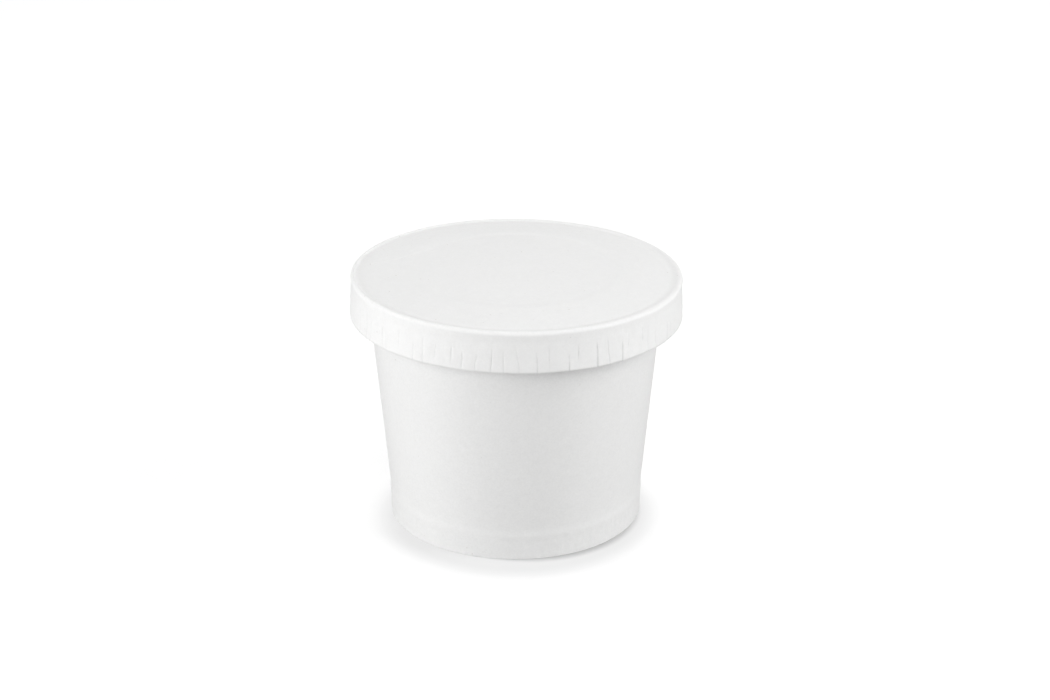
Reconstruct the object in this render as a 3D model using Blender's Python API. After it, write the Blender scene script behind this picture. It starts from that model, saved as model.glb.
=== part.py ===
"""A small paper portion cup with its pressed paper lid on, shut and full.

Metres, +Z up. The foot stands on z = 0 and the axis is x = y = 0. The cup and the lid are two
closed solids: each is a profile turned round the axis, with the paper's folds as relief."""
import math
import random

import bmesh
import bpy

MM = 0.001

# Cup: tapered wall on an upright foot band, a rolled rim at the mouth, a base set up inside the foot.
FOOT_RADIUS = 29.7 * MM
FOOT_BAND_HEIGHT = 7.2 * MM
FOOT_HEM = 1.2 * MM
BASE_RECESS = 6.5 * MM
WALL_RADIUS_AT_FLOOR = 28.95 * MM
WALL_TAPER = 0.0896
BAND_STEP = 0.6 * MM
RIM_HEIGHT = 55.8 * MM
RIM_RADIUS = 35.1 * MM
RIM_ROLL = 1.4 * MM
KNURL_COUNT = 60
KNURL_DEPTH = 0.06 * MM
SEAM_ANGLE = math.radians(108.0)
SEAM_WIDTH = 7.0 * MM
SEAM_STEP = 0.3 * MM

# Lid: a slightly domed panel, a shallow groove, a rounded bead, and a pleated skirt cut off straight.
LID_RADIUS = 38.0 * MM
LID_LOW = 49.3 * MM
PAPER = 0.5 * MM
BEAD_RADIUS = 36.7 * MM
BEAD_HEIGHT = 57.3 * MM
BEAD_ROUND = 1.15 * MM
GROOVE_RADIUS = 35.9 * MM
GROOVE_HEIGHT = 58.15 * MM
RING_RADIUS = 24.1 * MM
RING_HEIGHT = 59.35 * MM
APEX_HEIGHT = 59.9 * MM
SKIRT_FLARE = 0.024
PLEAT_TOP = 55.4 * MM
PLEAT_FULL = 54.6 * MM
PLEAT_COUNT = 72
PLEAT_DEPTH = 0.22 * MM
PLEAT_JITTER = 0.22
PLEAT_SEED = 11

PAPER_WHITE = (0.93, 0.93, 0.925, 1.0)
LID_WHITE = (0.94, 0.94, 0.935, 1.0)


def clear_scene():
    for obj in list(bpy.data.objects):
        bpy.data.objects.remove(obj, do_unlink=True)


def paper_material(name, colour, roughness):
    material = bpy.data.materials.new(name)
    material.use_nodes = True
    shader = material.node_tree.nodes["Principled BSDF"]
    shader.inputs["Base Color"].default_value = colour
    shader.inputs["Roughness"].default_value = roughness
    shader.inputs["Metallic"].default_value = 0.0
    return material


def arc(centre_radius, centre_height, size, start, end, steps):
    """Profile points on a circle, from start to end in degrees: 0 points outwards and 90 up."""
    points = []
    for step in range(steps + 1):
        angle = math.radians(start + (end - start) * step / steps)
        points.append((centre_radius + size * math.cos(angle), centre_height + size * math.sin(angle)))
    return points


def turned_solid(name, rows, angles, material):
    """Turns rows round Z, top pole first, down the outer side, bottom pole last.

    A row is (radius, height, relief). Relief is None, or how far the radius grows at each angle."""
    mesh = bmesh.new()
    rings = []
    for radius, height, relief in rows:
        if radius == 0.0:
            rings.append([mesh.verts.new((0.0, 0.0, height))])
            continue
        ring = []
        for index, angle in enumerate(angles):
            reach = radius + (relief[index] if relief else 0.0)
            ring.append(mesh.verts.new((reach * math.cos(angle), reach * math.sin(angle), height)))
        rings.append(ring)
    count = len(angles)
    for upper, lower in zip(rings, rings[1:]):
        for k in range(count):
            following = (k + 1) % count
            if len(upper) == 1:
                mesh.faces.new((upper[0], lower[k], lower[following]))
            elif len(lower) == 1:
                mesh.faces.new((upper[k], lower[0], upper[following]))
            else:
                mesh.faces.new((upper[k], lower[k], lower[following], upper[following]))
    data = bpy.data.meshes.new(name)
    mesh.to_mesh(data)
    mesh.free()
    data.materials.append(material)
    data.shade_smooth()
    data.set_sharp_from_angle(angle=math.radians(35.0))
    solid = bpy.data.objects.new(name, data)
    bpy.context.collection.objects.link(solid)
    return solid


def wall_radius(height):
    return WALL_RADIUS_AT_FLOOR + WALL_TAPER * height


def smooth_rows(points):
    return [(radius, height, None) for radius, height in points]


def build_cup(material):
    """The rim's roll and the wall below it are outside; the mouth is closed level, as the lid hides it."""
    count = 2 * KNURL_COUNT
    angles = [2.0 * math.pi * k / count for k in range(count)]
    # The seam is a strip of doubled paper up the back of the wall; the foot band has fine upright ribs.
    seam_half = 0.5 * SEAM_WIDTH / FOOT_RADIUS
    seam = [SEAM_STEP if abs(angle - SEAM_ANGLE) < seam_half else 0.0 for angle in angles]
    knurl = [KNURL_DEPTH if k % 2 else 0.0 for k in range(count)]
    ribbed = [max(step, rib) for step, rib in zip(seam, knurl)]

    under_rim = RIM_HEIGHT - RIM_ROLL
    wall_top = under_rim - 0.4 * MM
    wall_foot = FOOT_BAND_HEIGHT + BAND_STEP
    rows = [(0.0, RIM_HEIGHT, None)]
    rows += smooth_rows(arc(RIM_RADIUS, RIM_HEIGHT, RIM_ROLL, 180.0, -90.0, 6))
    rows.append((wall_radius(wall_top), wall_top, seam))
    rows.append((wall_radius(wall_foot), wall_foot, seam))
    rows.append((FOOT_RADIUS, FOOT_BAND_HEIGHT, ribbed))
    rows.append((FOOT_RADIUS, 0.0, ribbed))
    rows.append((FOOT_RADIUS - FOOT_HEM, 0.0, None))
    rows.append((FOOT_RADIUS - FOOT_HEM, BASE_RECESS, None))
    rows.append((0.0, BASE_RECESS, None))
    return turned_solid("cup", rows, angles, material)


def pleat_angles():
    """Two angles for each pleat, the fold's bottom and the flat after it, spaced a little unevenly."""
    chance = random.Random(PLEAT_SEED)
    pitch = 2.0 * math.pi / PLEAT_COUNT
    folds = [pitch * (k + chance.uniform(-PLEAT_JITTER, PLEAT_JITTER)) for k in range(PLEAT_COUNT)]
    angles = []
    for k, fold in enumerate(folds):
        following = folds[k + 1] if k + 1 < PLEAT_COUNT else folds[0] + 2.0 * math.pi
        angles.append(fold)
        angles.append(0.5 * (fold + following))
    return angles


def dome_height(radius):
    """Height of the panel's top: a flatter cap inside the pressed ring, and a steeper slope outside it."""
    if radius <= RING_RADIUS:
        share = radius / RING_RADIUS
        return APEX_HEIGHT - (APEX_HEIGHT - RING_HEIGHT) * share ** 2
    share = (radius - RING_RADIUS) / (GROOVE_RADIUS - RING_RADIUS)
    return RING_HEIGHT - (RING_HEIGHT - GROOVE_HEIGHT) * share ** 1.2


def skirt_radius(height):
    return LID_RADIUS - SKIRT_FLARE * (height - LID_LOW)


def build_lid(material):
    angles = pleat_angles()
    pleats = [-PLEAT_DEPTH if k % 2 == 0 else 0.0 for k in range(len(angles))]
    panel_radii = (14.0 * MM, RING_RADIUS, 30.0 * MM, 34.2 * MM)

    rows = [(0.0, APEX_HEIGHT, None)]
    rows += smooth_rows((radius, dome_height(radius)) for radius in panel_radii)
    rows.append((GROOVE_RADIUS, GROOVE_HEIGHT, None))
    rows += smooth_rows(arc(BEAD_RADIUS, BEAD_HEIGHT, BEAD_ROUND, 105.0, 0.0, 4))
    rows.append((skirt_radius(PLEAT_TOP), PLEAT_TOP, None))
    rows.append((skirt_radius(PLEAT_FULL), PLEAT_FULL, pleats))
    rows.append((LID_RADIUS, LID_LOW, pleats))

    # The same section one thickness of paper further in, from the cut edge back to the axis.
    rows.append((LID_RADIUS - PAPER, LID_LOW, pleats))
    rows.append((skirt_radius(PLEAT_FULL) - PAPER, PLEAT_FULL, pleats))
    rows += smooth_rows(arc(BEAD_RADIUS, BEAD_HEIGHT, BEAD_ROUND - PAPER, 0.0, 90.0, 2))
    rows.append((GROOVE_RADIUS, GROOVE_HEIGHT - PAPER, None))
    rows.append((RING_RADIUS, RING_HEIGHT - PAPER, None))
    rows.append((0.0, APEX_HEIGHT - PAPER, None))
    return turned_solid("lid", rows, angles, material)


clear_scene()
build_cup(paper_material("cup_paper", PAPER_WHITE, 0.72))
build_lid(paper_material("lid_paper", LID_WHITE, 0.66))
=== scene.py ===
# %% [markdown]
# # A small paper cup with its lid
#
# This lesson dresses a fixed frame: a tapered paper cup with a ribbed foot band, and a pressed
# paper lid with a bead and a pleated skirt. The frame gives the true size and place. We only make
# finer skins over its two solids, in the same metres, and never move the frame itself.

import math

import bpy
import numpy as np
from mathutils import Euler, Matrix, Vector


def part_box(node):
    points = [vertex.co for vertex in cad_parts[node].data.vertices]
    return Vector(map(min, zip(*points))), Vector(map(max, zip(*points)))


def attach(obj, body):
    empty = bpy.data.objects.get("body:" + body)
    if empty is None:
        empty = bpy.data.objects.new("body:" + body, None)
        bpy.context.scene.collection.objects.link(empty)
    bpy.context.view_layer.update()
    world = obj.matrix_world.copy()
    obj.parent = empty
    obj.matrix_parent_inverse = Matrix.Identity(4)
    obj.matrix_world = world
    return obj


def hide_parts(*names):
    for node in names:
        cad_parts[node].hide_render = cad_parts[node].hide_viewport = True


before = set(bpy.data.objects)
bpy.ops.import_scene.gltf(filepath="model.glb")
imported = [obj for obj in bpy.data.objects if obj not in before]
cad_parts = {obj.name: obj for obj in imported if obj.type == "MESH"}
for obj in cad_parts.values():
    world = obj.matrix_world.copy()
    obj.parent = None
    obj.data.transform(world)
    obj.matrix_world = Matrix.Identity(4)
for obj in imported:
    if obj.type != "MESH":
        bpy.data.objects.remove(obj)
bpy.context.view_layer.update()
print("nodes in the frame:", sorted(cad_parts))

# %% [markdown]
# ## Sizes read from the frame
#
# A lesson about a real object starts with its measures. The lid's box tells where the cut edge of
# its skirt lies and how high its domed panel reaches. What a box can't tell, such as the wall's
# taper, is written here once, as a real size.

# %% Sizes
MM = 0.001
lid_low, lid_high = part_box("lid")

LID_RADIUS = 38.14 * MM
LID_EDGE = lid_low[2] - 0.2 * MM
APEX = lid_high[2]
BOARD = 0.45 * MM
BEAD_RADIUS = 37.02 * MM
BEAD_HEIGHT = 57.6 * MM
BEAD_ROUND = 0.85 * MM
GROOVE_RADIUS = 35.9 * MM
GROOVE_HEIGHT = 58.2 * MM
RING_RADIUS = 24.1 * MM
RING_HEIGHT = 59.35 * MM
RING_STEP = 0.14 * MM
BAND_RADIUS = 37.80 * MM
PLEAT_TOP = 56.0 * MM

FOOT_RADIUS = 29.7 * MM
BAND_HEIGHT = 5.9 * MM
HEM = 1.2 * MM
RECESS = 6.4 * MM
WALL_AT_FLOOR = 28.95 * MM
WALL_TAPER = 0.0896
RIM_RADIUS = 35.1 * MM
RIM_HEIGHT = 55.8 * MM
RIM_ROLL = 1.4 * MM
SEAM_ANGLE = math.radians(108.0)
SEAM_HALF = 3.5 * MM
print("lid edge at %.1f mm, apex at %.1f mm" % (LID_EDGE / MM, APEX / MM))

# %% [markdown]
# ## The camera
#
# The picture was taken from a little above, with a moderately long lens. A camera's place can be
# found by matching circles of known height, here the lid's bead, the skirt's edge and the foot.

# %% Camera
CAMERA_BACK = 450.1 * MM
CAMERA_UP = 225.6 * MM
CAMERA_PITCH = math.radians(22.52)
CAMERA_YAW = math.radians(0.28)
LENS = 72.1
SENSOR = 36.0

camera_data = bpy.data.cameras.new("camera")
camera_data.lens = LENS
camera_data.sensor_width = SENSOR
camera_data.sensor_fit = "HORIZONTAL"
camera_data.clip_start = 0.01
camera_data.clip_end = 20.0
camera = bpy.data.objects.new("camera", camera_data)
camera.location = (0.0, -CAMERA_BACK, CAMERA_UP)
camera.rotation_euler = Euler((math.pi / 2 - CAMERA_PITCH, 0.0, -CAMERA_YAW))
bpy.context.collection.objects.link(camera)
bpy.context.scene.camera = camera
print("camera %.0f mm away" % (math.hypot(CAMERA_BACK, CAMERA_UP) / MM))

# %% [markdown]
# ## Arithmetic on sockets
#
# Node trees are easier to read as formulas. `Value` wraps one socket, and each Python operation on
# it adds the Math node that does the sum. `Tree.add` places any other node: its settings come first,
# then the values or links of its inputs. Shader trees and Geometry Nodes share the same Math node,
# so the two classes serve both.

# %% Value and Tree
class Value:
    """A node's output that can be used in Python arithmetic."""

    def __init__(self, tree, socket):
        self.tree = tree
        self.socket = socket

    def maths(self, operation, *operands):
        return self.tree.add("ShaderNodeMath", {"operation": operation}, dict(enumerate(operands)))

    def __add__(self, other):
        return self.maths("ADD", self, other)

    __radd__ = __add__

    def __mul__(self, other):
        return self.maths("MULTIPLY", self, other)

    __rmul__ = __mul__

    def __sub__(self, other):
        return self.maths("SUBTRACT", self, other)

    def __rsub__(self, other):
        return self.maths("SUBTRACT", other, self)

    def __truediv__(self, other):
        return self.maths("DIVIDE", self, other)

    def __pow__(self, other):
        return self.maths("POWER", self, other)

    def __abs__(self):
        return self.maths("ABSOLUTE", self)

    def ramp(self, start, end):
        """0 at start and 1 at end, eased at both; end may be the smaller."""
        settings = {"interpolation_type": "SMOOTHSTEP"}
        inputs = {"Value": self, "From Min": start, "From Max": end}
        return self.tree.add("ShaderNodeMapRange", settings, inputs)


class Tree:
    """Places nodes in one node tree and hands their outputs back as Values."""

    def __init__(self, tree):
        self.tree = tree

    def plug(self, source, socket):
        if isinstance(source, Value):
            self.tree.links.new(source.socket, socket)
        else:
            socket.default_value = source

    def add(self, kind, settings=None, inputs=None, out=0):
        """out names the output that comes back; a list of names gives a list of Values."""
        node = self.tree.nodes.new(kind)
        for name, value in (settings or {}).items():
            setattr(node, name, value)
        for name, value in (inputs or {}).items():
            self.plug(value, node.inputs[name])
        if isinstance(out, (list, tuple)):
            return [Value(self, node.outputs[name]) for name in out]
        return Value(self, node.outputs[out]) if node.outputs else node

    def vector(self, x, y, z):
        return self.add("ShaderNodeCombineXYZ", inputs={0: x, 1: y, 2: z})

    def parts(self, vector):
        return self.add("ShaderNodeSeparateXYZ", inputs={0: vector}, out=[0, 1, 2])

    def mix(self, factor, first, second):
        """A colour between two, each given as three numbers or as a Value."""
        low, high = [c if isinstance(c, Value) else (*c, 1.0) for c in (first, second)]
        return self.add("ShaderNodeMix", {"data_type": "RGBA"}, {0: factor, 6: low, 7: high}, out=2)

    def noise(self, vector, scale, detail=2.0, roughness=0.5):
        inputs = {"Vector": vector, "Scale": scale, "Detail": detail, "Roughness": roughness}
        return self.add("ShaderNodeTexNoise", inputs=inputs)


print("ready to write trees")

# %% [markdown]
# ## Turned forms
#
# Cup, lid and base are all turned forms: one section swept round an axis. Blender's Screw modifier
# or a curve swept along a circle would do it too. Here the rings are computed, because the section
# then keeps its own spacing of rows, fine where the paper bends and coarse where it is plain. The
# section runs from the top of the axis, down the outside, and back to the axis underneath, so every
# face points outwards, and one shared point closes each pole.

# %% Turning a section
def turned(name, section, segments):
    """A closed mesh turned round Z from (radius, height) points that begin and end on the axis."""
    section = np.array(section)
    turns = 2.0 * np.pi * np.arange(segments) / segments
    circle = np.stack([np.cos(turns), np.sin(turns)], axis=1)
    body = section[1:-1]
    rings = np.empty((len(body), segments, 3))
    rings[:, :, :2] = body[:, None, :1] * circle[None]
    rings[:, :, 2] = body[:, 1:]
    top_pole = [[0.0, 0.0, section[0][1]]]
    low_pole = [[0.0, 0.0, section[-1][1]]]
    points = np.concatenate([top_pole, rings.reshape(-1, 3), low_pole])

    row, k = np.meshgrid(np.arange(len(body) - 1), np.arange(segments), indexing="ij")
    here = 1 + row * segments + k
    beside = 1 + row * segments + (k + 1) % segments
    quads = np.stack([here, here + segments, beside + segments, beside], axis=-1).reshape(-1, 4)
    step = np.arange(segments)
    after = (step + 1) % segments
    last_ring = 1 + (len(body) - 1) * segments
    top = np.stack([np.zeros(segments, int), 1 + step, 1 + after], axis=-1)
    low = np.stack([np.full(segments, len(points) - 1), last_ring + after, last_ring + step], axis=-1)
    mesh = bpy.data.meshes.new(name)
    mesh.from_pydata(points.tolist(), [], quads.tolist() + top.tolist() + low.tolist())
    mesh.shade_smooth()
    piece = bpy.data.objects.new(name, mesh)
    bpy.context.collection.objects.link(piece)
    return piece


def arc(radius, height, size, start, end, steps):
    """Section points on a circle, from start to end in degrees: 0 points outwards and 90 up."""
    angles = np.radians(np.linspace(start, end, steps + 1))
    return [(radius + size * math.cos(a), height + size * math.sin(a)) for a in angles]


def line(start, end, steps):
    """Evenly spaced section points from start to end, without start itself."""
    shares = [(k + 1) / steps for k in range(steps)]
    return [(start[0] + (end[0] - start[0]) * s, start[1] + (end[1] - start[1]) * s) for s in shares]


print("arc of", len(arc(1, 0, 1, 0, 90, 6)), "points")

# %% [markdown]
# ## Geometry Nodes on a turned form
#
# Pleats, ribs and seams repeat or run round the form, so a Geometry Nodes tree makes them: it reads
# each point's place, works out how far the paper lies in or out there, and moves the point. The tree
# is written as formulas with named inputs, and its noises give the same numbers each time. Afterwards
# the result is turned into a plain mesh.

# %% Running a tree
NEVER_ZERO = 1e-9


def folding_tree(name, inputs):
    """A new Geometry Nodes tree with a geometry socket, a material and named number inputs."""
    group = bpy.data.node_groups.new(name, "GeometryNodeTree")
    group.interface.new_socket("Geometry", in_out="INPUT", socket_type="NodeSocketGeometry")
    for label, default in inputs.items():
        socket = group.interface.new_socket(label, in_out="INPUT", socket_type="NodeSocketFloat")
        socket.default_value = default
    group.interface.new_socket("Material", in_out="INPUT", socket_type="NodeSocketMaterial")
    group.interface.new_socket("Geometry", in_out="OUTPUT", socket_type="NodeSocketGeometry")
    tree = Tree(group)
    entry = group.nodes.new("NodeGroupInput")
    given = {label: Value(tree, entry.outputs[label]) for label in ["Geometry", "Material", *inputs]}
    return tree, given


def close_tree(tree, given, radial, rise, along=0.0, aside=0.0):
    """Moves each point outwards, up, along its circle and to the right, and sets the material."""
    x, y, _ = tree.parts(tree.add("GeometryNodeInputPosition"))
    reach = (x * x + y * y) ** 0.5 + NEVER_ZERO
    right = x / reach * radial - y / reach * along + aside
    back = y / reach * radial + x / reach * along
    offset = tree.vector(right, back, rise)
    moved = tree.add("GeometryNodeSetPosition", inputs={"Geometry": given["Geometry"], "Offset": offset})
    real = tree.add("GeometryNodeRealizeInstances", inputs={"Geometry": moved})
    finish = {"Geometry": real, "Material": given["Material"]}
    dressed = tree.add("GeometryNodeSetMaterial", inputs=finish)
    tree.plug(dressed, tree.tree.nodes.new("NodeGroupOutput").inputs[0])


def run_tree(piece, tree, settings):
    """Runs the tree on a piece with inputs set by identifier, and keeps the result as a plain mesh."""
    modifier = piece.modifiers.new(tree.tree.name, "NODES")
    modifier.node_group = tree.tree
    for item in tree.tree.interface.items_tree:
        if item.in_out == "INPUT" and item.name in settings:
            modifier[item.identifier] = settings[item.name]
    bpy.context.view_layer.update()
    seen = piece.evaluated_get(bpy.context.evaluated_depsgraph_get())
    result = bpy.data.meshes.new_from_object(seen)
    result.name = piece.name
    piece.modifiers.clear()
    piece.data = result
    result.shade_smooth()
    print(piece.name, "has", len(result.polygons), "faces")


print("trees run on", bpy.app.version_string)

# %% [markdown]
# ## White paper
#
# Cup board is white, but never one flat white: its fibres make a fine grain, a slow mottling, and a
# rare darker fleck. Each is a noise of its own scale. The colour varies by about one part in a
# hundred, the grain is a shallow bump, and the flecks are the rare peaks of a fine noise. Coated
# paper has a soft sheen, so the roughness is middling and varies with the mottling. Where a mesh
# marks its slits in an attribute, the colour is painted a shade darker: painted shade for the light
# that would be trapped between two plies.
#
# The colour is a mix between half and one and a half times the white, so a factor of 0.5 is the white
# itself, and 0.01 more or less is one part in a hundred.

# %% Paper material
LID_WHITE = (0.90, 0.90, 0.895)
CUP_WHITE = (0.872, 0.872, 0.867)
FLECK = (0.42, 0.38, 0.33)
MOTTLE_SIZE = 5.0 * MM
CLOUD_SIZE = 1.3 * MM
FLECK_SIZE = 0.6 * MM
MOTTLE_TONE = 0.02
CLOUD_TONE = 0.04
FLECK_STRENGTH = 0.4
FLECK_EDGE = 0.03
# Painted shade in the lid's slits: how much darker the colour is painted there.
SLIT_PAINTED_SHADE = 0.11
# A painted highlight along the panel's crease: how much lighter the colour is painted there.
CREASE_PAINTED_HIGHLIGHT = 0.02
GRAIN_DEPTH = 0.006 * MM
CREASE_HEIGHT = 0.05 * MM
SHEEN_SPREAD = 0.08
PAPER_SPECULAR = 0.35


def paper(name, white, roughness, grain_size, grain_tone, fleck_level, mark=None):
    """A white board. mark(tree, position) may give where a crease stands up, from 0 to 1."""
    material = bpy.data.materials.new(name)
    material.use_nodes = True
    tree = Tree(material.node_tree)
    shader = material.node_tree.nodes["Principled BSDF"]
    position = tree.add("ShaderNodeTexCoord", out="Object")

    mottle = tree.noise(position, 1.0 / MOTTLE_SIZE, detail=3.0)
    cloud = tree.noise(position, 1.0 / CLOUD_SIZE, detail=1.0)
    fibre = tree.noise(position, 1.0 / grain_size, detail=4.0, roughness=0.65)
    peaks = tree.noise(position, 1.0 / FLECK_SIZE, detail=0.0)
    spots = FLECK_STRENGTH * peaks.ramp(fleck_level, fleck_level + FLECK_EDGE)

    tone = MOTTLE_TONE * (mottle - 0.5) + CLOUD_TONE * (cloud - 0.5) + grain_tone * (fibre - 0.5)
    relief = fibre * GRAIN_DEPTH + mottle * (2.0 * GRAIN_DEPTH)
    if mark:
        marked = mark(tree, position)
        # Painted highlight: the colour is painted lighter along the crease's ridge.
        tone = tone + CREASE_PAINTED_HIGHLIGHT * marked
        relief = relief + CREASE_HEIGHT * marked
    # Painted shade: the colour is painted darker where the lid's tree marks its slits.
    painted_slit_shade = tree.add("ShaderNodeAttribute", {"attribute_name": "painted_slit_shade"}, out="Fac")
    half = tuple(0.5 * c for c in white)
    one_and_a_half = tuple(1.5 * c for c in white)
    tinted = tree.mix(tone + 0.5 - SLIT_PAINTED_SHADE * painted_slit_shade, half, one_and_a_half)
    tree.plug(tree.mix(spots, tinted, FLECK), shader.inputs["Base Color"])
    tree.plug(roughness + SHEEN_SPREAD * (mottle - 0.5), shader.inputs["Roughness"])

    bump = tree.add("ShaderNodeBump", inputs={"Height": relief, "Distance": 1.0, "Strength": 1.0})
    tree.plug(bump, shader.inputs["Normal"])
    shader.inputs["Specular IOR Level"].default_value = PAPER_SPECULAR
    return material


cup_paper = paper(
    "cup_paper", CUP_WHITE, roughness=0.62, grain_size=0.45 * MM, grain_tone=0.15, fleck_level=0.885)
print("made", cup_paper.name)

# %% [markdown]
# ## The panel's faint marks
#
# Pressing leaves a shallow ring in the lid's panel, which is in the mesh, and a faint crease that
# runs from the bead on the left and joins the ring like a tangent. In front of the crease the panel
# sags a little, which the mesh holds too. The crease's own ridge is a few hundredths of a
# millimetre high, less than a mesh row could hold, so it is relief in the material, and the colour
# is painted a touch lighter along it: a painted highlight for the light that the ridge catches. The
# crease follows an arc of a circle: it is where the distance to that circle is small.

# %% Lid paper with its crease
CREASE_CENTRE = (-40.1 * MM, 28.6 * MM)
CREASE_RADIUS = 25.3 * MM
CREASE_HALF = 0.55 * MM
CREASE_OUTER = (35.0 * MM, 33.5 * MM)
CREASE_INNER = (22.5 * MM, 25.5 * MM)
CREASE_RIGHT = (-17.0 * MM, -21.0 * MM)
CREASE_FRONT = (0.0, 3.0 * MM)


def off_crease(x, y):
    """How far a place lies in front of the crease's arc; less than 0 behind it."""
    across = x - CREASE_CENTRE[0]
    along = y - CREASE_CENTRE[1]
    return (across * across + along * along) ** 0.5 - CREASE_RADIUS


def crease(tree, position):
    """1 on the crease, which lies in the left back quarter of the panel, and 0 elsewhere."""
    x, y, z = tree.parts(position)
    line_mask = abs(off_crease(x, y)).ramp(CREASE_HALF, 0.0)
    inside = (x * x + y * y) ** 0.5
    on_panel = inside.ramp(*CREASE_OUTER) * inside.ramp(*CREASE_INNER)
    left_back = x.ramp(*CREASE_RIGHT) * y.ramp(*CREASE_FRONT)
    return line_mask * on_panel * left_back * z.ramp(PLEAT_TOP, PLEAT_TOP + MM)


lid_paper = paper(
    "lid_paper", LID_WHITE, roughness=0.60, grain_size=0.40 * MM, grain_tone=0.115, fleck_level=0.857,
    mark=crease)
print("made", lid_paper.name)

# %% [markdown]
# ## The lid
#
# The lid is one disc of board, pressed over a former. The panel stays a little domed, a shallow
# groove runs round it, and the board turns over a bead into the skirt. There it has too much
# length for the circle, so it gathers into many small pleats, pressed flat. They show as upright
# slits of uneven depth, length and spacing, some slanted. The whole section is one closed skin,
# outside and inside, because the skirt's lower edge shows the board's thickness.

# %% Section of the lid
def dome(radius):
    """Height of the panel: a flatter cap inside the pressed ring and a steeper slope outside it."""
    if radius < RING_RADIUS:
        return APEX - (APEX - RING_HEIGHT + RING_STEP) * (radius / RING_RADIUS) ** 2
    share = (radius - RING_RADIUS) / (GROOVE_RADIUS - RING_RADIUS)
    return RING_HEIGHT - (RING_HEIGHT - GROOVE_HEIGHT) * share ** 1.2


CAP_ROWS = np.linspace(5.0, 22.5, 5) * MM
RING_ROWS = [23.6 * MM, RING_RADIUS + 0.3 * MM]
SLOPE_ROWS = np.linspace(25.5, 34.0, 5) * MM
GROOVE_ROWS = [34.6 * MM, 34.9 * MM, 35.2 * MM]
CUT = 0.06 * MM

panel_radii = [*CAP_ROWS, *RING_ROWS, *SLOPE_ROWS, *GROOVE_ROWS]
lid_section = [(0.0, APEX)] + [(r, dome(r)) for r in panel_radii]
lid_section += [(35.5 * MM, GROOVE_HEIGHT + 0.02 * MM), (GROOVE_RADIUS, GROOVE_HEIGHT)]
lid_section += arc(BEAD_RADIUS, BEAD_HEIGHT, BEAD_ROUND, 125.0, 0.0, 10)
lid_section += line(lid_section[-1], (BAND_RADIUS, PLEAT_TOP), 4)
lid_section += line(lid_section[-1], (LID_RADIUS, LID_EDGE + CUT), 15)
lid_section += [(LID_RADIUS - CUT, LID_EDGE), (LID_RADIUS - BOARD + CUT, LID_EDGE)]
lid_section += [(LID_RADIUS - BOARD, LID_EDGE + CUT)]
lid_section += line(lid_section[-1], (BAND_RADIUS - BOARD, PLEAT_TOP), 3)
lid_section += arc(BEAD_RADIUS, BEAD_HEIGHT, BEAD_ROUND - BOARD, 0.0, 90.0, 3)
lid_section += [(GROOVE_RADIUS - 0.1 * MM, GROOVE_HEIGHT - BOARD)]
lid_section += [(RING_RADIUS, RING_HEIGHT - RING_STEP - BOARD), (0.0, APEX - BOARD)]
print("lid section:", len(lid_section), "points")

# %% [markdown]
# The pleats are a one-dimensional Voronoi pattern round the skirt: its points are the slits, its
# distance is how far a place is from the nearest slit, and its colour gives each slit random
# numbers for its depth and for where it begins and ends. The pattern's start and end meet at the
# back. A slow noise shifts the pattern, so that slits slant a little. A slit is only two mesh
# columns wide, so the column nearest to it is moved onto its middle line. Otherwise a slit that
# falls between two columns would lose its depth. The tree also stores where the slits are as a
# point attribute, where the paper paints a darker colour: painted shade in the slits.
#
# Widths that belong to one slit are shares of the pitch. Heights on the skirt are shares too, 0 at
# the cut edge and 1 where the pleats end under the bead. A noise that reads less than the full rise
# of a place is stretched upwards. The same tree gives the panel its slow wave, its sag in front of
# the crease, and its small shift to one side.

# %% Pleats
PLEATS = 74.0
LID_SEGMENTS = 1440
PITCH = 2.0 * math.pi * LID_RADIUS / PLEATS
COLUMN = PLEATS / LID_SEGMENTS
SEED_STEP = 100.0
SLIT_SPREAD = 0.6
SHALLOWEST = 0.35
LEAST_DEPTH = 0.2
LEAST_DENT = 0.3
FOLD_WIDTH = 0.45
FOLD_SHARPNESS = 10.0
FOLD_BIAS = 0.4
SLIT_TOP, SLIT_TOP_SPREAD = 0.97, 0.4
SLIT_FOOT, SLIT_FOOT_SPREAD = -0.75, 1.3
SLIT_FADE = 0.15
RIDGE_FOOT = (1.0, 1.08)
RIDGE_HEAD = (1.26, 1.16)
RIDGE_CHANCE = (0.4, 0.6)
DENT_TOP = (1.1, 0.85)
EDGE_WAVE_TOP = (0.35, 0.0)
SNAP_TOP = (1.3, 1.2)
SLANT_SIZE, SLANT_RISE = 3.0 * MM, 0.4
DENT_SIZE, DENT_RISE = 2.0 * MM, 0.7
EDGE_WAVE_SIZE = 7.0 * MM
PANEL_WAVE_SIZE = 22.0 * MM
SKIRT_START = (36.9 * MM, 37.1 * MM)
SKIRT_TOP = (BEAD_HEIGHT, PLEAT_TOP + 0.3 * MM)
PANEL_WAVE_EDGE = (35.0 * MM, 30.0 * MM)
SAG_EDGE = (35.4 * MM, 25.0 * MM)
SAG_LEFT = (8.0 * MM, -22.0 * MM)
SAG_FRONT = (-2.2 * MM, 0.5 * MM)
SHIFT_EDGE = (BEAD_RADIUS + 0.5 * MM, GROOVE_RADIUS)


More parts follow.
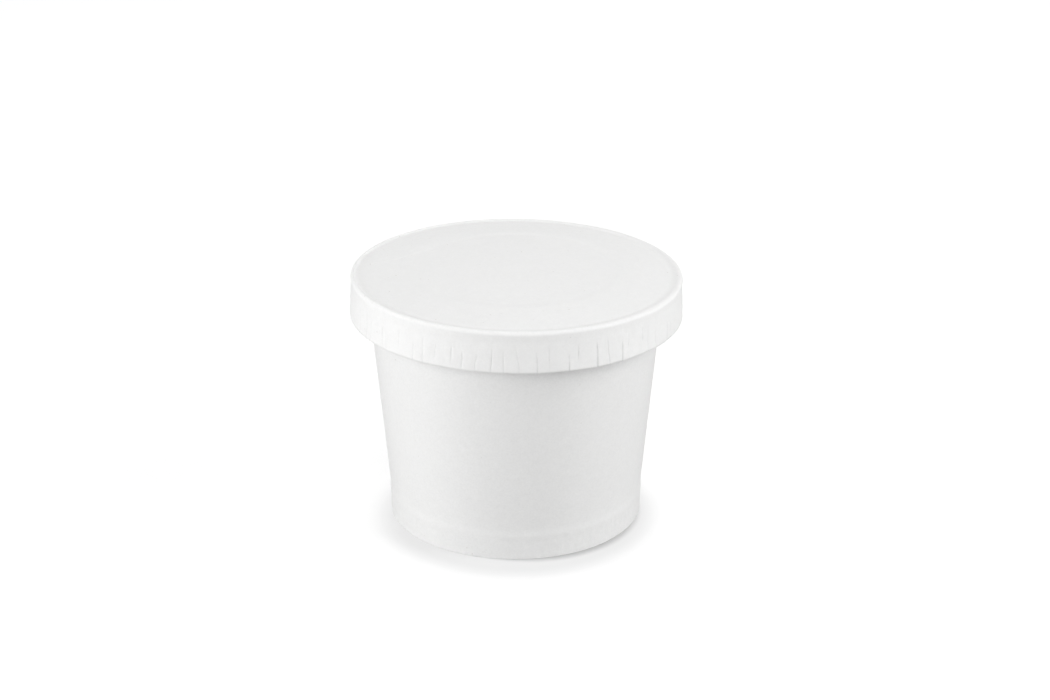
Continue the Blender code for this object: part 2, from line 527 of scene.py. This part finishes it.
def lid_tree():
    tree, given = folding_tree("lid_pleats", {
        "Pleats": PLEATS, "Slit Depth": 0.17 * MM, "Slit Half Width": 0.055, "Fold Step": 0.09 * MM,
        "Slant": 0.6, "Ridge": 0.035 * MM, "Dents": 0.25 * MM, "Edge Wave": 0.2 * MM,
        "Panel Wave": 0.12 * MM, "Panel Sag": 0.36 * MM, "Press Shift": -0.42 * MM, "Seed": 4.0})
    x, y, z = tree.parts(tree.add("GeometryNodeInputPosition"))
    reach = (x * x + y * y) ** 0.5
    past_bead = reach.ramp(*SKIRT_START)
    turn = x.maths("ARCTAN2", x, 0.0 - y) * given["Pleats"] * (0.5 / math.pi)
    height = (z - LID_EDGE) * (1.0 / (PLEAT_TOP - LID_EDGE))

    bend = tree.noise(tree.vector(x, y, SLANT_RISE * z), 1.0 / SLANT_SIZE, detail=1.0) - 0.5
    place = turn + bend * given["Slant"] + given["Seed"] * SEED_STEP
    distance, colour, nearest = tree.add(
        "ShaderNodeTexVoronoi", {"voronoi_dimensions": "1D"},
        {"W": place, "Scale": 1.0, "Randomness": SLIT_SPREAD}, out=["Distance", "Color", "W"])
    red, green, blue = tree.add("FunctionNodeSeparateColor", inputs={0: colour}, out=[0, 1, 2])

    begin = SLIT_TOP - SLIT_TOP_SPREAD * green * green
    stop = SLIT_FOOT_SPREAD * blue + SLIT_FOOT
    runs = height.ramp(begin, begin - SLIT_FADE) * height.ramp(stop - SLIT_FADE, stop)
    slit = distance.ramp(given["Slit Half Width"], 0.0)
    share = SHALLOWEST + (1.0 - SHALLOWEST) * red
    depth = given["Slit Depth"] * (LEAST_DEPTH + (1.0 - LEAST_DEPTH) * share)
    side = (place - nearest) * FOLD_SHARPNESS
    step = side.maths("TANH", side) * distance.ramp(FOLD_WIDTH, 0.0)
    step = step * given["Fold Step"] * (green - FOLD_BIAS)
    ridge_width = distance.ramp(2.0 * given["Slit Half Width"], 0.0)
    ridge_span = height.ramp(*RIDGE_FOOT) * height.ramp(*RIDGE_HEAD) * past_bead
    ridge = ridge_width * ridge_span * given["Ridge"] * red.ramp(*RIDGE_CHANCE)

    on_skirt = past_bead * z.ramp(*SKIRT_TOP)
    dents = tree.noise(tree.vector(x, y, DENT_RISE * z), 1.0 / DENT_SIZE, detail=3.0) - 0.5
    dents = dents * given["Dents"] * (LEAST_DENT + (1.0 - LEAST_DENT) * height.ramp(*DENT_TOP))
    radial = ((step - slit * depth) * runs + dents) * on_skirt + ridge

    wave = tree.noise(tree.vector(x, y, 0.0), 1.0 / EDGE_WAVE_SIZE, detail=2.0) - 0.5
    rise = wave * given["Edge Wave"] * on_skirt * height.ramp(*EDGE_WAVE_TOP)
    slow = tree.noise(tree.vector(x, y, 0.0), 1.0 / PANEL_WAVE_SIZE, detail=1.0) - 0.5
    rise = rise + slow * given["Panel Wave"] * reach.ramp(*PANEL_WAVE_EDGE)
    on_top = z.ramp(PLEAT_TOP, BEAD_HEIGHT)
    sag = reach.ramp(*SAG_EDGE) * x.ramp(*SAG_LEFT) * on_top
    rise = rise - sag * off_crease(x, y).ramp(*SAG_FRONT) * given["Panel Sag"]

    nearby = distance.maths("LESS_THAN", distance, 0.5 * COLUMN)
    along = (nearest - place) * PITCH * nearby * past_bead * height.ramp(*SNAP_TOP)
    aside = given["Press Shift"] * reach.ramp(*SHIFT_EDGE) * on_top
    # The slits' mask, stored for the paper, which paints shade there.
    given["Geometry"] = tree.add(
        "GeometryNodeStoreNamedAttribute", {"data_type": "FLOAT", "domain": "POINT"},
        {"Geometry": given["Geometry"], "Name": "painted_slit_shade", "Value": slit * runs * on_skirt * share})
    close_tree(tree, given, radial, rise, along, aside)
    return tree


lid = turned("lid_pressed_board", lid_section, LID_SEGMENTS)
print("one pleat takes %.1f mm of the skirt" % (PITCH / MM))
run_tree(lid, lid_tree(), {"Material": lid_paper})

# %% [markdown]
# A lid that is pressed on by hand rarely sits level or quite central. This one leans by less than a
# degree, with its left side and its front up. The lean and the shift go into the mesh, so the
# piece's object stays unturned at the origin.

# %% Lean of the lid
LEFT_UP = math.radians(0.65)
FRONT_UP = math.radians(0.25)
LID_SHIFT = 0.2 * MM
pivot = Vector((0.0, 0.0, LID_EDGE))
seat = Matrix.Translation(pivot + Vector((LID_SHIFT, 0.0, 0.0)))
turn_over = Matrix.Rotation(LEFT_UP, 4, "Y") @ Matrix.Rotation(-FRONT_UP, 4, "X")
lid.data.transform(seat @ turn_over @ Matrix.Translation(-pivot))
print("lid leans %.2f and %.2f degrees" % (math.degrees(LEFT_UP), math.degrees(FRONT_UP)))

# %% [markdown]
# ## The cup
#
# The wall is a fan-shaped blank, wrapped and glued along one upright seam at the back, where the
# outer edge of the paper stands up as a small step. Its mouth is curled outwards into a rim under
# the lid. At the foot the wall is folded in over the base and knurled, which leaves an upright band
# with fine, uneven ribs. The shut cup can't be seen into, so the section closes level under the lid.

# %% Section of the cup
def wall_radius(height):
    return WALL_AT_FLOOR + WALL_TAPER * height


wall_top = RIM_HEIGHT - RIM_ROLL - 0.5 * MM
wall_foot = BAND_HEIGHT + 1.8 * MM
cup_section = [(0.0, RIM_HEIGHT)] + arc(RIM_RADIUS, RIM_HEIGHT, RIM_ROLL, 180.0, -90.0, 18)
cup_section += [(wall_radius(wall_top) + 0.15 * MM, wall_top + 0.1 * MM)]
below_rim = (wall_radius(wall_top), wall_top + 0.3 * MM)
cup_section += line(below_rim, (wall_radius(wall_foot), wall_foot), 30)
print("down to the foot band:", len(cup_section), "points")

# %% [markdown]
# The foot band isn't quite upright: its profile bulges by a tenth of a millimetre or two, and rolls
# over softly at its top. Two short lists say how far out it lies at which height, and NumPy finds
# the rows between. Then the section turns round the foot's folded edge and goes up inside the hem.

# %% Section of the foot band
FOLD = 0.12 * MM
BAND_ROWS = 21
BAND_UP = np.array([0.12, 1.4, 2.8, 4.3, 5.4, 5.8, 6.1, 6.6, 7.0]) * MM
BAND_OUT = np.array([-0.16, -0.18, -0.17, -0.12, -0.03, -0.02, -0.03, -0.06, -0.08]) * MM
hem_radius = FOOT_RADIUS - HEM
notch_radius = hem_radius + 0.3 * MM
band_rows = np.linspace(BAND_HEIGHT + 1.1 * MM, FOLD, BAND_ROWS)
cup_section += [(FOOT_RADIUS + np.interp(z, BAND_UP, BAND_OUT), z) for z in band_rows]
cup_section += arc(FOOT_RADIUS + BAND_OUT[0] - FOLD, FOLD, FOLD, 0.0, -90.0, 4)[1:]
cup_section += arc(hem_radius + FOLD, FOLD, FOLD, -90.0, -180.0, 4)
cup_section += line(cup_section[-1], (hem_radius, RECESS - 0.5 * MM), 4)
cup_section += [(notch_radius, RECESS - 0.4 * MM), (notch_radius, RECESS + 0.5 * MM)]
cup_section += [(0.0, RECESS + 0.5 * MM)]
print("cup section:", len(cup_section), "points")

# %% [markdown]
# The band's ribs are a Voronoi pattern like the lid's slits, much lower, with a fine noise for the
# press that knurled them. The seam is a strip of a second ply up the back: it stands out by the
# paper's thickness at one side and thins away at the other.

# %% Ribs and seam
RIBS = 66.0
CUP_SEGMENTS = 1080
RIB_SPREAD = 1.0
RIB_HALF = 0.3
RIB_LEAST = 0.2
BAND_TOP = (BAND_HEIGHT + 0.4 * MM, BAND_HEIGHT - 0.8 * MM)
RIM_BELOW = (wall_top + 0.6 * MM, wall_top - 0.4 * MM)
PRESS_SIZE = 1.4 * MM
PRESS_RISE = 0.8
WALL_WAVE_SIZE = 14.0 * MM
PLY_FADE = (-SEAM_HALF - 1.8 * MM, -SEAM_HALF + 0.6 * MM)
PLY_EDGE = (SEAM_HALF + 0.12 * MM, SEAM_HALF)


def cup_tree():
    tree, given = folding_tree("cup_ribs_and_seam", {
        "Ribs": RIBS, "Rib Depth": 0.02 * MM, "Press Depth": 0.2 * MM, "Seam Step": 0.28 * MM,
        "Wall Wave": 0.08 * MM, "Seed": 2.0})
    position = tree.add("GeometryNodeInputPosition")
    x, y, z = tree.parts(position)
    reach = (x * x + y * y) ** 0.5
    under_rim = z.ramp(*RIM_BELOW)
    outside = reach.ramp(FOOT_RADIUS - 0.5 * HEM, FOOT_RADIUS - 0.1 * HEM)

    turn = x.maths("ARCTAN2", x, 0.0 - y) * given["Ribs"] * (0.5 / math.pi)
    place = turn + given["Seed"] * SEED_STEP
    distance, colour = tree.add(
        "ShaderNodeTexVoronoi", {"voronoi_dimensions": "1D"},
        {"W": place, "Scale": 1.0, "Randomness": RIB_SPREAD}, out=["Distance", "Color"])
    press = tree.noise(tree.vector(x, y, PRESS_RISE * z), 1.0 / PRESS_SIZE, detail=2.0) - 0.5
    ribs = distance.ramp(RIB_HALF, 0.0) * given["Rib Depth"] * (RIB_LEAST + tree.parts(colour)[0])
    ribs = (ribs + press * given["Press Depth"]) * z.ramp(*BAND_TOP)

    seam_x, seam_y = math.cos(SEAM_ANGLE), math.sin(SEAM_ANGLE)
    beside = y * seam_x - x * seam_y
    facing = (x * seam_x + y * seam_y).ramp(0.0, 1.0 * MM)
    seam = beside.ramp(*PLY_FADE) * beside.ramp(*PLY_EDGE) * facing * given["Seam Step"] * under_rim

    slow = tree.noise(position, 1.0 / WALL_WAVE_SIZE, detail=1.5) - 0.5
    wave = slow * given["Wall Wave"] * under_rim
    radial = (seam + wave - ribs) * outside
    close_tree(tree, given, radial, 0.0)
    return tree


cup = turned("cup_wrapped_wall", cup_section, CUP_SEGMENTS)
run_tree(cup, cup_tree(), {"Material": cup_paper})

# %% [markdown]
# ## The base
#
# From below one sees a separate disc of the same board, set up inside the folded foot. It is a thin
# turned form with a rounded edge, a little higher in the middle, so that the cup stands on its foot.

# %% Base disc
BASE_RADIUS = hem_radius + 0.15 * MM
BASE_RISE = 0.35 * MM
BASE_SEGMENTS = 240
base_low = RECESS - 0.25 * MM
base_high = RECESS + 0.45 * MM
base_radii = np.linspace(26.0, 2.0, 13) * MM
base_section = [(0.0, base_high), (BASE_RADIUS - 0.2 * MM, base_high)]
base_section += [(BASE_RADIUS, RECESS + 0.3 * MM), (BASE_RADIUS, base_low + 0.1 * MM)]
base_section += [(BASE_RADIUS - 0.15 * MM, base_low)]
base_section += [(r, base_low + BASE_RISE * (1.0 - (r / BASE_RADIUS) ** 2)) for r in base_radii]
base_section += [(0.0, base_low + BASE_RISE)]
base = turned("base_disc", base_section, BASE_SEGMENTS)
base.data.materials.append(cup_paper)
print("base disc has", len(base.data.polygons), "faces")

# %% [markdown]
# ## Joining the frame
#
# Every piece rides on a body of the frame. A part without joints has a single body, the root. The
# pieces stand for the two plain solids, which stay in the frame for touch and weight.

# %% Ride and replace
for piece, slot_name in ((cup, "cup_paper"), (base, "cup_paper"), (lid, "lid_paper")):
    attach(piece, "root")
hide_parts("cup")
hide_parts("cup")
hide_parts("lid")
print("pieces:", cup.name, base.name, lid.name)

# %% [markdown]
# ## The floor
#
# The cup stands on pure white with a soft shadow. A pale floor that also glows a little gives the
# white. The glow is for the camera's rays alone, or the floor would light the wall from below and
# wash out the lid's shadow. It also dies away near the foot, in a wide soft round and, towards the
# right, in a narrow one: so the floor shows the shadow that such even light would hardly leave.
# Each round is written as its middle's x and y, the radius up to which it is full, the radius where
# it ends, and the share of the glow that it takes away.

# %% Floor
FLOOR_HALF = 4.0
FLOOR_GREY = (0.42, 0.42, 0.42, 1.0)
FLOOR_GLOW = 0.66
WIDE_SHADOW = (0.3 * MM, -5.5 * MM, 28.0 * MM, 36.4 * MM, 0.28)
NARROW_SHADOW = (2.8 * MM, -4.2 * MM, 24.3 * MM, 27.2 * MM, 0.72)
floor_mesh = bpy.data.meshes.new("floor")
corners = [(a * FLOOR_HALF, b * FLOOR_HALF, 0.0) for a, b in ((-1, -1), (1, -1), (1, 1), (-1, 1))]
floor_mesh.from_pydata(corners, [], [(0, 1, 2, 3)])
floor = bpy.data.objects.new("floor", floor_mesh)
bpy.context.collection.objects.link(floor)
floor_material = bpy.data.materials.new("floor")
floor_material.use_nodes = True
floor_shader = floor_material.node_tree.nodes["Principled BSDF"]
floor_shader.inputs["Base Color"].default_value = FLOOR_GREY
floor_shader.inputs["Roughness"].default_value = 1.0
floor_shader.inputs["Specular IOR Level"].default_value = 0.0
floor_tree = Tree(floor_material.node_tree)
glow = floor_tree.add("ShaderNodeLightPath", out="Is Camera Ray") * FLOOR_GLOW
floor_x, floor_y, _ = floor_tree.parts(floor_tree.add("ShaderNodeTexCoord", out="Object"))
for middle_x, middle_y, full_to, none_from, share in (WIDE_SHADOW, NARROW_SHADOW):
    across, along = floor_x - middle_x, floor_y - middle_y
    away = (across * across + along * along) ** 0.5
    glow = glow * (1.0 - share * away.ramp(none_from, full_to))
floor_tree.plug(glow, floor_shader.inputs["Emission Color"])
floor_shader.inputs["Emission Strength"].default_value = 1.0
floor_mesh.materials.append(floor_material)
print("floor is %.0f m wide" % (2 * FLOOR_HALF))

# %% [markdown]
# ## Light
#
# White paper on white is all light: the wall is darkest towards the camera and brighter to both
# sides, and the bead catches the most. So the largest soft lamps stand to the left and the right,
# weaker ones in front, above and behind, and the world gives an even fill. Each lamp has a name, and
# with it its place in metres, the side of its square, and its power in watts.

# %% Lamps and world
WORLD_STRENGTH = 0.312
WHITE = (1.0, 1.0, 1.0, 1.0)
LAMPS = {
    "left": ((-0.80, -0.10, 0.25), 0.6, 1.93),
    "left_low": ((-0.80, -0.25, 0.10), 0.18, 1.74),
    "right": ((0.80, -0.10, 0.25), 0.6, 3.2),
    "right_high": ((0.72, -0.20, 0.55), 0.4, 1.56),
    "front_left": ((-0.50, -0.65, 0.35), 0.4, 1.18),
    "front": ((0.0, -1.00, 0.40), 0.5, 2.36),
    "top": ((0.0, 0.15, 0.95), 0.6, 1.48),
    "back": ((0.0, 0.80, 0.45), 0.8, 1.62),
}


def soft_lamp(name, place, size, power):
    """A square area lamp that looks at the middle of the cup."""
    data = bpy.data.lights.new(name, "AREA")
    data.shape = "SQUARE"
    data.size = size
    data.energy = power
    lamp = bpy.data.objects.new(name, data)
    lamp.location = place
    aim = Vector((0.0, 0.0, 0.5 * APEX)) - Vector(place)
    lamp.rotation_euler = aim.to_track_quat("-Z", "Y").to_euler()
    bpy.context.collection.objects.link(lamp)


for name, (place, size, power) in LAMPS.items():
    soft_lamp(name, place, size, power)

world = bpy.data.worlds.new("studio")
world.use_nodes = True
background = world.node_tree.nodes["Background"]
background.inputs["Color"].default_value = WHITE
background.inputs["Strength"].default_value = WORLD_STRENGTH
bpy.context.scene.world = world
bpy.context.scene.view_settings.view_transform = "Standard"
print("lamps:", ", ".join(LAMPS))
